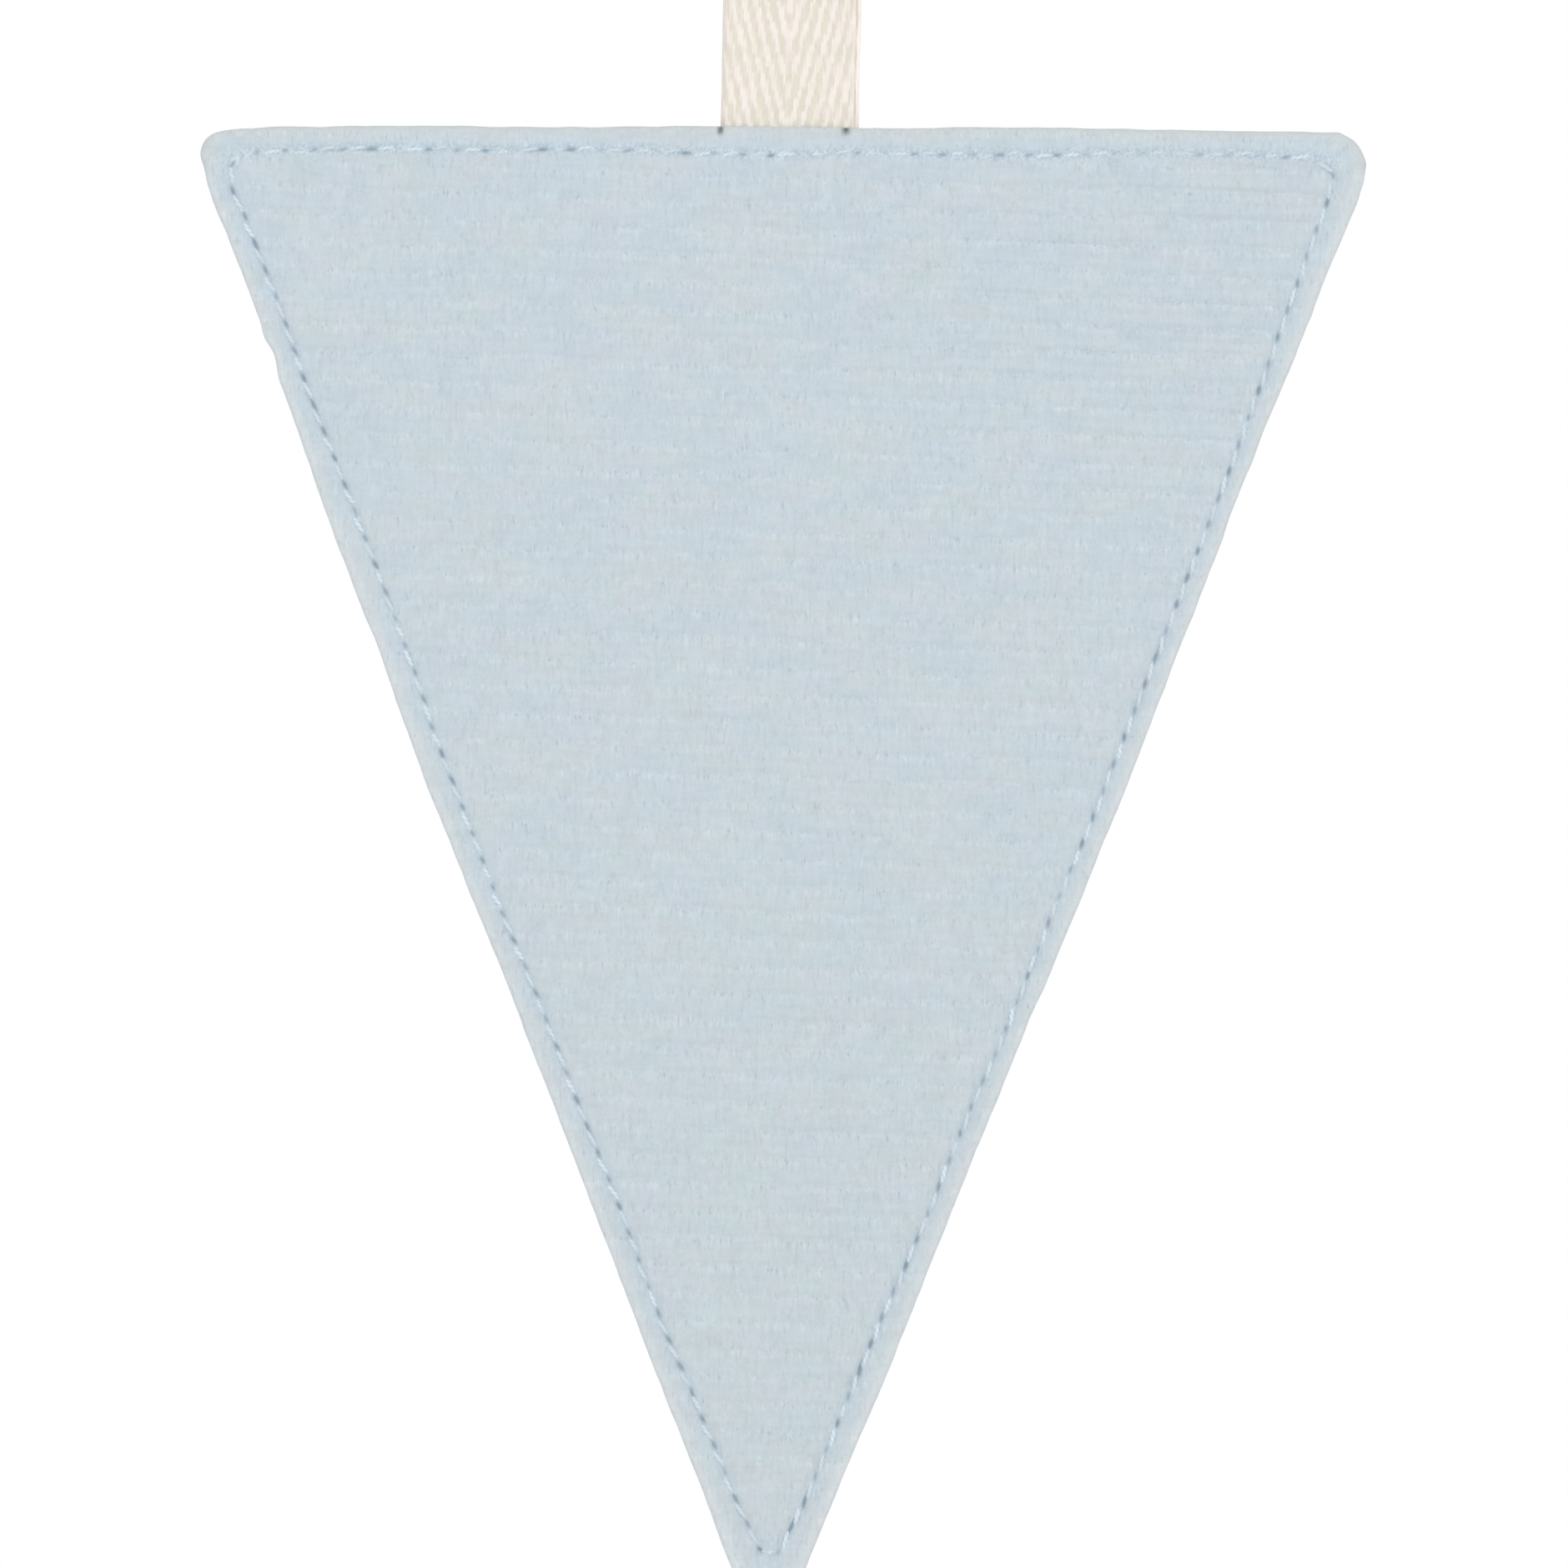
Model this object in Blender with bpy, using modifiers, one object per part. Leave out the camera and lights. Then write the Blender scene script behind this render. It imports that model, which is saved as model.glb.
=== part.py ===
"""Bunting pennant: two triangles of velvet cord, sewn and turned, with a folded tape loop.

It hangs upright. +Z is up, the front faces -Y, and the origin is the inside of the
tape loop's crown, where a cord bears.
"""

import math

import bmesh
import bpy

# Sizes in metres

# Pennant, as a triangle with sharp corners, before its corners are rounded
TOP_WIDTH = 0.1354
DROP = 0.1729
TOP_FALL = 0.0004  # the top edge's right end lies this much lower than its left end
TIP_SHIFT = -0.0018  # the tip lies this far to the left of the top edge's middle
CORNER_RADIUS = 0.0037
TIP_RADIUS = 0.0040
LEAST_RADIUS = 0.0008  # of a corner inside the rim
SIDE_STEP = 0.0032  # between the outline's points
ARC_STEPS = 7

# Hanging tape
TAPE_WIDTH = 0.0150
TAPE_THICK = 0.0010
TAPE_RISE = 0.0280  # from the pennant's top edge to the inside of the crown
TAPE_TAIL = 0.0070  # of each end, inside the top seam
TAPE_NECK = 0.0130  # height above the top edge at which the legs part
CROWN_RADIUS = 0.0040  # of the tape's middle
LEG_SHIFT = 0.00075  # the back leg lies this far to the right of the front one
TAPE_LEAN = math.radians(1.25)  # to the right, going up
NECK_STEPS = 12
CROWN_STEPS = 12
LEG_STEPS = 5
TAPE_COLUMNS = 6

# Where parts lie
GAP = 0.0003  # between neighbouring pieces
TOP_Z = -TAPE_RISE
TOP_MIDDLE_X = -0.0010  # the top edge's middle, seen from the tape's middle
LEG_Y = (TAPE_THICK + GAP) / 2
POCKET_DEPTH = LEG_Y + TAPE_THICK / 2 + GAP  # from the middle plane
POCKET_WALL = 0.0007  # of cloth over the tape's end
POCKET_LIP = 0.0003  # of cloth at the pocket's mouth
LIP_ROUND = 0.0010  # over which the lip rises to the full wall
POCKET_MARGIN = 0.0004  # beside the tape's end
CLOTH_INSIDE = GAP / 2

# Cord's ribs
RIB_PITCH = 0.00306
RIB_RELIEF = 0.00035
RIB_SHOULDER = 0.25  # of the pitch, from the groove's bottom to the rib's shoulder
RIB_TILT = math.radians(2.2)  # down to the right
RIB_FADE = 0.0010  # over which the ribs rise inside the topstitching
CUT_WELD = 0.0002  # joins points of the ribs' cuts that nearly meet
COLUMN_PITCH = 0.0085
HOLLOW_DEPTH = 0.00018  # of the soft unevenness over the face
HOLLOW_LENGTH = 0.047

# Height of the face over the middle plane, by the distance from the turned edge
RIM = (
    # inward, height
    (0.0000, 0.00045),
    (0.0005, 0.00115),
    (0.0013, 0.00160),
    (0.0026, 0.00115),  # the row of topstitching
    (0.0036, 0.00145),
)

# How far each side stands outside its straight line, by the distance down it
SIDE_WAVER = (
    # down, left, right
    (0.0000, -0.00025, -0.00085),
    (0.0022, -0.00038, -0.00075),
    (0.0046, -0.00066, -0.00048),
    (0.0068, -0.00038, -0.00008),
    (0.0088, -0.00028, 0.00004),
    (0.0125, -0.00039, -0.00002),
    (0.0180, -0.00040, -0.00010),
    (0.0215, -0.00043, 0.00001),
    (0.0237, -0.00022, -0.00004),
    (0.0258, -0.00058, -0.00001),
    (0.0290, -0.00006, -0.00006),
    (0.0340, 0.00000, -0.00010),
    (0.0430, 0.00033, -0.00004),
    (0.0470, 0.00036, 0.00014),
    (0.0550, 0.00038, 0.00026),
    (0.0585, 0.00020, 0.00022),
    (0.0650, 0.00043, 0.00039),
    (0.0740, 0.00058, 0.00048),
    (0.0810, 0.00046, 0.00042),
    (0.0870, 0.00038, 0.00044),
    (0.0950, 0.00015, 0.00038),
    (0.1010, 0.00016, 0.00016),
    (0.1100, 0.00006, 0.00015),
    (0.1180, 0.00013, 0.00007),
    (0.1260, 0.00002, 0.00008),
    (0.1315, 0.00000, 0.00014),
    (0.1380, 0.00007, 0.00018),
    (0.1435, 0.00004, 0.00008),
    (0.1490, -0.00006, -0.00010),
    (0.1540, -0.00015, -0.00013),
    (0.1600, -0.00005, -0.00015),
)

# How far the top edge stands above its straight line, by the place along it
TOP_WAVER = (
    # right of the middle, up
    (-0.0677, -0.00030),
    (-0.0655, -0.00036),
    (-0.0630, -0.00060),
    (-0.0605, -0.00044),
    (-0.0560, -0.00017),
    (-0.0480, -0.00010),
    (-0.0370, -0.00006),
    (-0.0230, -0.00016),
    (-0.0170, -0.00002),
    (0.0000, -0.00005),
    (0.0100, -0.00014),
    (0.0180, -0.00007),
    (0.0250, 0.00000),
    (0.0380, -0.00016),
    (0.0500, -0.00037),
    (0.0580, -0.00040),
    (0.0620, -0.00046),
    (0.0636, -0.00079),
    (0.0677, -0.00090),
)

# Colours, with roughness
CLOTH_FINISH = ((0.585, 0.665, 0.705, 1.0), 0.95)
TAPE_FINISH = ((0.850, 0.800, 0.725, 1.0), 0.90)


def remove_all_objects():
    for thing in list(bpy.data.objects):
        bpy.data.objects.remove(thing, do_unlink=True)


def new_collection(name):
    found = bpy.data.collections.new(name)
    bpy.context.scene.collection.children.link(found)
    return found


def new_material(name, finish):
    colour, roughness = finish
    material = bpy.data.materials.new(name)
    material.use_nodes = True
    shader = material.node_tree.nodes["Principled BSDF"]
    shader.inputs["Base Color"].default_value = colour
    shader.inputs["Roughness"].default_value = roughness
    shader.inputs["Metallic"].default_value = 0.0
    return material


def new_object(name, bm, collection, material=None):
    mesh = bpy.data.meshes.new(name)
    bm.to_mesh(mesh)
    bm.free()
    thing = bpy.data.objects.new(name, mesh)
    collection.objects.link(thing)
    if material:
        mesh.materials.append(material)
    mesh.shade_smooth()
    return thing


def between(table, at, column):
    """A column's value at a place along a table, smoothly between its rows."""
    if at <= table[0][0]:
        return table[0][column]
    for before, after in zip(table, table[1:]):
        if at <= after[0]:
            share = ease((at - before[0]) / (after[0] - before[0]))
            return before[column] + share * (after[column] - before[column])
    return table[-1][column]


def ease(share):
    share = min(max(share, 0.0), 1.0)
    return share * share * (3.0 - 2.0 * share)


# Outline of the pennant

def sharp_corners():
    """The triangle's corners, anticlockwise from the front: top left, tip, top right."""
    half = TOP_WIDTH / 2
    left = (TOP_MIDDLE_X - half, TOP_Z + TOP_FALL / 2)
    tip = (TOP_MIDDLE_X + TIP_SHIFT, TOP_Z - DROP)
    right = (TOP_MIDDLE_X + half, TOP_Z - TOP_FALL / 2)
    return left, tip, right


def waver_of(side, x, z):
    """How far the outline stands outside a straight side at a place on it."""
    if side == "top":
        return between(TOP_WAVER, x - TOP_MIDDLE_X, 1)
    return between(SIDE_WAVER, TOP_Z - z, 1 if side == "left" else 2)


def outline(inward):
    """Points of the edge, or of a line inside it, in the same number at any distance."""
    corners = sharp_corners()
    radii = (CORNER_RADIUS, TIP_RADIUS, CORNER_RADIUS)
    sides = ("left", "right", "top")
    count = len(corners)
    middle_x = sum(c[0] for c in corners) / count
    middle_z = sum(c[1] for c in corners) / count
    runs = []
    for i in range(count):
        start, end = corners[i], corners[(i + 1) % count]
        length = math.dist(start, end)
        along = ((end[0] - start[0]) / length, (end[1] - start[1]) / length)
        out = (along[1], -along[0])
        if out[0] * (start[0] - middle_x) + out[1] * (start[1] - middle_z) < 0:
            out = (-out[0], -out[1])
        runs.append((start, along, out, length))

    def arc(i):
        """Centre, radius and the two directions of the corner before run i."""
        before, after = runs[i - 1], runs[i]
        turn = math.acos(before[2][0] * after[2][0] + before[2][1] * after[2][1])
        radius = max(radii[i] - inward, LEAST_RADIUS)
        reach = (inward + radius) / math.cos(turn / 2)
        way = (before[2][0] + after[2][0], before[2][1] + after[2][1])
        size = math.hypot(*way)
        corner = corners[i]
        centre = (corner[0] - way[0] / size * reach, corner[1] - way[1] / size * reach)
        return centre, radius, before[2], after[2], turn

    fade = 1.0 - ease(inward / RIM[-2][0])  # the topstitching runs straight
    points = []
    for i in range(count):
        centre, radius, first, last, turn = arc(i)
        for k in range(ARC_STEPS):
            share = k / ARC_STEPS
            a = math.sin((1 - share) * turn) / math.sin(turn)
            b = math.sin(share * turn) / math.sin(turn)
            way = (a * first[0] + b * last[0], a * first[1] + b * last[1])
            x = centre[0] + way[0] * radius
            z = centre[1] + way[1] * radius
            waver = waver_of(sides[i - 1], x, z)
            waver += ease(share) * (waver_of(sides[i], x, z) - waver)
            points.append((x, z, way, waver * fade))
        start, along, out, length = runs[i]
        next_centre, next_radius = arc((i + 1) % count)[:2]
        begin = (centre[0] + out[0] * radius, centre[1] + out[1] * radius)
        finish = (next_centre[0] + out[0] * next_radius, next_centre[1] + out[1] * next_radius)
        steps = round(length / SIDE_STEP)
        for k in range(steps):
            share = k / steps
            x = begin[0] + share * (finish[0] - begin[0])
            z = begin[1] + share * (finish[1] - begin[1])
            points.append((x, z, out, waver_of(sides[i], x, z) * fade))
    return [(x + way[0] * waver, z + way[1] * waver) for x, z, way, waver in points]


# Face of a panel

def leg_x(z):
    """Middle of the front leg of the tape at a height."""
    return z * math.tan(TAPE_LEAN)


def tape_cover(x, z, shift):
    """From 0 away from the tape's end to 1 over it."""
    side = abs(x - leg_x(z) - shift) - TAPE_WIDTH / 2
    across = 1.0 - ease((side - POCKET_MARGIN) / 0.0035)
    down = 1.0 - ease((TOP_Z - z - TAPE_TAIL - 0.0012) / 0.0040)
    return across * down


def rib_height(x, z):
    """One broad rib and one narrow groove for each pitch, falling to the right."""
    level = z * math.cos(RIB_TILT) + x * math.sin(RIB_TILT)
    phase = (level / RIB_PITCH) % 1.0
    return -RIB_RELIEF * max(1.0 - min(phase, 1.0 - phase) / RIB_SHOULDER, 0.0)


def soft_hollow(x, z):
    """Slight unevenness of turned cloth."""
    turn = 2.0 * math.pi / HOLLOW_LENGTH
    return HOLLOW_DEPTH * (
        math.sin(turn * (x + 0.4 * z)) * math.cos(turn * 0.7 * z)
        + 0.6 * math.sin(turn * (0.6 * x - z) + 1.3)
    )


def face_height(x, z, inward, shift):
    plain = between(RIM, inward, 1)
    inside = ease((inward - RIM[-2][0]) / RIB_FADE)
    height = plain + inside * (rib_height(x, z) + soft_hollow(x, z))
    least = POCKET_DEPTH + POCKET_LIP + (POCKET_WALL - POCKET_LIP) * ease(inward / LIP_ROUND)
    cover = tape_cover(x, z, shift)
    return height + cover * max(least - plain, 0.0) - cover * inside * soft_hollow(x, z)


def ring(bm, points):
    """A closed loop of vertices and edges."""
    verts = [bm.verts.new((x, 0.0, z)) for x, z in points]
    return [bm.edges.new((a, b)) for a, b in zip(verts, verts[1:] + verts[:1])]


def cut_along(bm, layer, lines, direction):
    """Cuts the field between the rims along parallel lines."""
    for line in lines:
        field = [f for f in bm.faces if f[layer]]
        parts = field + list({e for f in field for e in f.edges})
        parts += list({v for f in field for v in f.verts})
        point = (direction[0] * line, 0.0, direction[1] * line)
        bmesh.ops.bisect_plane(
            bm, geom=parts, dist=1e-6, plane_co=point, plane_no=(direction[0], 0.0, direction[1])
        )


def panel_face(shift):
    """The pennant's outside face, its rim in rings and its field cut along the ribs."""
    bm = bmesh.new()
    inward = bm.verts.layers.float.new("inward")
    field = bm.faces.layers.int.new("field")
    edges = []
    for distance, _ in RIM:
        loop = ring(bm, outline(distance))
        for edge in loop:
            for vert in edge.verts:
                vert[inward] = distance
        edges.append(loop)
    for outer, inner in zip(edges, edges[1:]):
        for first, second in zip(outer, inner):
            bm.faces.new((first.verts[0], first.verts[1], second.verts[1], second.verts[0]))
    middle = bm.faces.new([edge.verts[0] for edge in edges[-1]])
    middle[field] = 1

    low, high = TOP_Z - DROP, TOP_Z
    slope = (math.sin(RIB_TILT), math.cos(RIB_TILT))
    first = math.floor((low - TOP_WIDTH * slope[0]) / RIB_PITCH)
    last = math.ceil((high + TOP_WIDTH * slope[0]) / RIB_PITCH)
    places = (0.0, RIB_SHOULDER, 1.0 - RIB_SHOULDER)
    levels = [(number + place) * RIB_PITCH for number in range(first, last) for place in places]
    cut_along(bm, field, levels, slope)
    columns = round(TOP_WIDTH / COLUMN_PITCH)
    across = [(k - columns / 2) * COLUMN_PITCH for k in range(columns + 1)]
    cut_along(bm, field, across, (1.0, 0.0))
    inner = list({v for f in bm.faces if f[field] for v in f.verts})
    for vert in inner:
        vert[inward] = RIM[-1][0]
    bmesh.ops.remove_doubles(bm, verts=inner, dist=CUT_WELD)
    bmesh.ops.triangulate(bm, faces=list(bm.faces))
    for vert in bm.verts:
        vert.co.y = -face_height(vert.co.x, vert.co.z, vert[inward], shift)
    return bm


def close_back(bm):
    """Draws the turned edge back to the seam and closes the panel flat behind."""
    rim = [e for e in bm.edges if e.is_boundary]
    drawn = bmesh.ops.extrude_edge_only(bm, edges=rim)["geom"]
    for part in drawn:
        if isinstance(part, bmesh.types.BMVert):
            part.co.y = -CLOTH_INSIDE
    back = [part for part in drawn if isinstance(part, bmesh.types.BMEdge)]
    bmesh.ops.edgeloop_fill(bm, edges=[e for e in back if e.is_boundary])
    bmesh.ops.recalc_face_normals(bm, faces=list(bm.faces))


def pocket_cutter(name, shift, collection):
    """Box that clears the tape's end between the panels."""
    bm = bmesh.new()
    bmesh.ops.create_cube(bm, size=1.0)
    width = TAPE_WIDTH + 2 * POCKET_MARGIN
    above = 0.004
    below = TAPE_TAIL + GAP
    depth = 2 * POCKET_DEPTH
    bmesh.ops.scale(bm, verts=list(bm.verts), vec=(width, depth, above + below))
    cutter = new_object(name, bm, collection)
    middle = TOP_Z + (above - below) / 2
    cutter.location = (leg_x(middle) + shift, 0.0, middle)
    cutter.rotation_euler = (0.0, TAPE_LEAN, 0.0)
    cutter.hide_render = True
    cutter.display_type = "WIRE"
    return cutter


def make_panel(name, facing, shift, material, parts, cutters):
    """One triangle of cord; facing is 1 for the front and -1 for the back."""
    bm = panel_face(shift)
    close_back(bm)
    if facing < 0:
        bmesh.ops.scale(bm, verts=list(bm.verts), vec=(1.0, -1.0, 1.0))
        bmesh.ops.reverse_faces(bm, faces=list(bm.faces))
    panel = new_object(name, bm, parts, material)
    panel.data.set_sharp_from_angle(angle=math.radians(60))
    cut = panel.modifiers.new("tape pocket", "BOOLEAN")
    cut.operation = "DIFFERENCE"
    cut.solver = "EXACT"
    cut.object = pocket_cutter(name + "_pocket", shift, cutters)
    return panel


# Hanging tape

def tape_path():
    """Points of the tape's middle from the front tail to the back one: height, forward, share."""
    crown_z = TAPE_RISE + TAPE_THICK / 2 - CROWN_RADIUS  # of the crown's centre
    front = []
    for k in range(LEG_STEPS):
        front.append((-TAPE_TAIL + (TAPE_NECK + TAPE_TAIL) * k / LEG_STEPS, LEG_Y))
    for k in range(NECK_STEPS):
        share = k / NECK_STEPS
        spread = LEG_Y + (CROWN_RADIUS - LEG_Y) * ease(share)
        front.append((TAPE_NECK + (crown_z - TAPE_NECK) * share, spread))
    crown = []
    for k in range(CROWN_STEPS + 1):
        turn = math.pi * k / CROWN_STEPS
        crown.append((crown_z + CROWN_RADIUS * math.sin(turn), CROWN_RADIUS * math.cos(turn)))
    back = [(height, -forward) for height, forward in reversed(front)]
    return front + crown + back


def make_tape(material, parts):
    """A strip laid along the folded path, made solid by its thickness."""
    path = tape_path()
    bm = bmesh.new()
    bmesh.ops.create_grid(bm, x_segments=TAPE_COLUMNS, y_segments=len(path) - 1, size=1.0)
    for vert in bm.verts:
        row = round((vert.co.y + 1.0) / 2.0 * (len(path) - 1))
        height, forward = path[row]
        side = vert.co.x * TAPE_WIDTH / 2
        over = ease((row - LEG_STEPS) / (len(path) - 1 - 2 * LEG_STEPS))
        z = TOP_Z + height
        vert.co = (leg_x(z) + side + LEG_SHIFT * over, -forward, z)
    bmesh.ops.recalc_face_normals(bm, faces=list(bm.faces))
    tape = new_object("hanging_tape", bm, parts, material)
    thick = tape.modifiers.new("thickness", "SOLIDIFY")
    thick.thickness = TAPE_THICK
    thick.offset = 0.0
    thick.use_even_offset = True
    return tape


def main():
    remove_all_objects()
    parts = new_collection("bunting_pennant")
    cutters = new_collection("cutters")
    cloth = new_material("velvet_cord", CLOTH_FINISH)
    tape = new_material("herringbone_tape", TAPE_FINISH)
    make_panel("panel_front", 1, 0.0, cloth, parts, cutters)
    make_panel("panel_back", -1, LEG_SHIFT, cloth, parts, cutters)
    make_tape(tape, parts)


main()
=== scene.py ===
"""Bunting pennant: its velvet cord, topstitching and hanging tape, made round the part's frame."""

import math

import bpy
import numpy as np
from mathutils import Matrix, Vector
from mathutils.geometry import delaunay_2d_cdt
from mathutils.kdtree import KDTree


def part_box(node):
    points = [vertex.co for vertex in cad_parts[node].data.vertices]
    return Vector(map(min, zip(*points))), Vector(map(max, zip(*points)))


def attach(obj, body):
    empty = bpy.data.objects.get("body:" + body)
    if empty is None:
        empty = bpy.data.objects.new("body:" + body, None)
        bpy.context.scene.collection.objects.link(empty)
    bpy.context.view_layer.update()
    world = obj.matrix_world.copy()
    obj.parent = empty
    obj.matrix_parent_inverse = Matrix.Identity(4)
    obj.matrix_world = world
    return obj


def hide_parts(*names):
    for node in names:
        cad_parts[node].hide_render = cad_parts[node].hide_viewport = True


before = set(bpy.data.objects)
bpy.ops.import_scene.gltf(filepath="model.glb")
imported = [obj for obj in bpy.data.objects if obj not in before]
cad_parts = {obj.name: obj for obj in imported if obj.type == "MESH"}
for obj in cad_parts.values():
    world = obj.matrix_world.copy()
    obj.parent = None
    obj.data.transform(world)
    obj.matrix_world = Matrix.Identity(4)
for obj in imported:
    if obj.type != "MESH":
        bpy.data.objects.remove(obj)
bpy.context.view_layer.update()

bl_info = {
    "name": "Cord Bunting Pennant",
    "version": (1, 0, 0),
    "blender": (4, 5, 0),
    "location": "3D View > Sidebar > Pennant",
    "description": "Makes a velvet cord bunting pennant with its topstitching and tape loop",
    "category": "Add Mesh",
}

MM = 0.001
BODY = "root"
PHOTO_WIDTH = 1880  # pixels across the picture

# How far each side stands outside its straight line, by the distance down it, in millimetres
SIDE_WAVER = (
    # down, left, right
    (0.0, -0.25, -0.85),
    (2.2, -0.38, -0.75),
    (4.6, -0.66, -0.48),
    (6.8, -0.38, -0.08),
    (8.8, -0.28, 0.04),
    (12.5, -0.39, -0.02),
    (18.0, -0.40, -0.10),
    (21.5, -0.43, 0.01),
    (23.7, -0.22, -0.04),
    (25.8, -0.58, -0.01),
    (29.0, -0.06, -0.06),
    (34.0, 0.00, -0.10),
    (43.0, 0.33, -0.04),
    (47.0, 0.36, 0.14),
    (55.0, 0.38, 0.26),
    (58.5, 0.20, 0.22),
    (65.0, 0.43, 0.39),
    (74.0, 0.58, 0.48),
    (81.0, 0.46, 0.42),
    (87.0, 0.38, 0.44),
    (95.0, 0.15, 0.38),
    (101.0, 0.16, 0.16),
    (110.0, 0.06, 0.15),
    (118.0, 0.13, 0.07),
    (126.0, 0.02, 0.08),
    (131.5, 0.00, 0.14),
    (138.0, 0.07, 0.18),
    (143.5, 0.04, 0.08),
    (149.0, -0.06, -0.10),
    (154.0, -0.15, -0.13),
    (160.0, -0.05, -0.15),
)

# How far the top edge stands above its straight line, in millimetres
TOP_WAVER = (
    # right of the middle, up
    (-67.7, -0.30),
    (-65.5, -0.36),
    (-63.0, -0.60),
    (-60.5, -0.44),
    (-56.0, -0.17),
    (-48.0, -0.10),
    (-37.0, -0.06),
    (-23.0, -0.16),
    (-17.0, -0.02),
    (0.0, -0.05),
    (10.0, -0.14),
    (18.0, -0.07),
    (25.0, 0.00),
    (38.0, -0.16),
    (50.0, -0.37),
    (58.0, -0.40),
    (62.0, -0.46),
    (63.6, -0.79),
    (67.7, -0.90),
)

# How far the topstitching strays inwards from its set distance, in millimetres
SIDE_STRAY = (
    # down, left, right
    (0.0, -0.10, 0.90),
    (5.0, -0.05, 0.84),
    (7.2, 0.12, 0.50),
    (9.5, 0.40, 0.42),
    (12.0, 0.36, 0.42),
    (20.0, 0.44, 0.08),
    (30.0, 0.06, -0.32),
    (40.0, 0.15, -0.62),
    (50.0, 0.16, -0.70),
    (62.0, 0.02, -0.77),
    (68.0, -0.42, -0.82),
    (78.0, -0.38, -0.92),
    (88.0, -0.42, -0.72),
    (97.0, -0.10, -0.79),
    (103.0, -0.05, -0.72),
    (110.0, -0.08, -0.38),
    (120.0, 0.12, -0.33),
    (126.0, 0.04, -0.28),
    (134.0, -0.05, 0.12),
    (144.0, 0.33, 0.25),
    (150.0, 0.58, 0.34),
    (155.0, 0.63, 0.42),
    (160.0, 1.20, 1.05),
)

TOP_STRAY = (
    # right of the middle, inwards
    (-60.0, 0.48),
    (-57.0, 0.28),
    (-52.0, 0.15),
    (-45.0, 0.05),
    (-33.0, 0.18),
    (-26.0, 0.02),
    (-18.0, 0.14),
    (-10.0, 0.40),
    (0.0, 0.68),
    (8.0, 0.35),
    (20.0, 0.52),
    (30.0, 0.52),
    (40.0, 0.25),
    (50.0, 0.46),
    (60.0, 0.75),
)

FINE_WAVER = 0.06  # height of the edge's small bumps, in millimetres

CORNER_STRAY = (0.15, 1.25, 0.15)  # top left, tip, top right, in millimetres
CORNER_KEEP = (0.78, 0.0, 0.65)  # how little each corner's radius shrinks inwards

# The turned edge in section, from the seam round to the field, in millimetres
RIM_SECTION = (
    # inward, height
    (0.28, 0.03),
    (0.10, 0.24),
    (0.00, 0.55),
    (0.06, 0.86),
    (0.24, 1.14),
    (0.54, 1.36),
    (0.95, 1.49),
    (1.40, 1.51),
    (1.85, 1.43),
    (2.20, 1.30),
    (2.42, 1.19),
    (2.60, 1.14),
    (2.78, 1.19),
    (3.00, 1.30),
    (3.28, 1.41),
    (3.60, 1.45),
)


STITCH_LEVEL = 1.15  # height of the cloth under the stitches, in millimetres
COVER_SHARE = 0.7  # of the section's height that is left over the tape's end


# Sizes and colours that a user may change


def size(name, description, default, **more):
    """A length in metres, shown with its unit."""
    return bpy.props.FloatProperty(
        name=name,
        description=description,
        default=default,
        precision=5,
        subtype="DISTANCE",
        unit="LENGTH",
        **more,
    )


def angle(name, description, degrees):
    return bpy.props.FloatProperty(
        name=name,
        description=description,
        default=math.radians(degrees),
        subtype="ANGLE",
        unit="ROTATION",
    )


def amount(name, description, default):
    return bpy.props.FloatProperty(name=name, description=description, default=default)


def number(name, description, default):
    return bpy.props.IntProperty(name=name, description=description, default=default, min=1)


def linear(value):
    """A screen value from 0 to 255 as the linear value that a shader takes."""
    value /= 255.0
    return value / 12.92 if value <= 0.04045 else ((value + 0.055) / 1.055) ** 2.4


def colour(name, description, red, green, blue):
    return bpy.props.FloatVectorProperty(
        name=name,
        description=description,
        default=(linear(red), linear(green), linear(blue)),
        min=0.0,
        max=1.0,
        size=3,
        subtype="COLOR",
    )


class PennantCut(bpy.types.PropertyGroup):
    """The pennant's outline."""

    top_width: size("Top width", "Width of the top edge if its corners were sharp", 0.1354)
    drop: size("Drop", "From the top edge to the tip if it were sharp", 0.1729)
    top_fall: size("Top fall", "How much lower the top edge lies at its right end", 0.0004)
    middle: size("Middle", "Place of the top edge's middle, right of the loop's", -0.0010)
    tip_shift: size("Tip shift", "How far right of the top edge's middle the tip lies", -0.0018)
    corner_radius: size("Corner radius", "Radius of the two top corners", 0.0037)
    tip_radius: size("Tip radius", "Radius of the tip", 0.0040)
    allowance: size("Seam allowance", "Cloth turned in at each edge", 0.0050)


class CordCloth(bpy.types.PropertyGroup):
    """The cord's ribs and pile."""

    rib_pitch: size("Rib pitch", "From one rib's groove to the next", 0.00306)
    rib_relief: size("Rib relief", "Depth of the groove between two ribs", 0.00014)
    half_relief: size("Half rib relief", "Depth of the faint line along a rib's middle", 0.00006)
    rib_tilt: angle("Rib tilt", "How much the ribs fall to the right", 2.2)
    pile_pitch: size("Pile pitch", "Width of one upright streak of the pile", 0.0005)
    uneven: size("Unevenness", "Height of the soft swells of the turned cloth", 0.00016)
    row_step: size("Row step", "Height of the mesh's rows", 0.00031)
    column_step: size("Column step", "Width of the mesh's columns", 0.00054)
    rim_step: size("Rim step", "Length of the mesh's steps round the rim", 0.00030)
    lining_step: size("Inside step", "Size of the mesh's steps on the inside", 0.0040)


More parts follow.
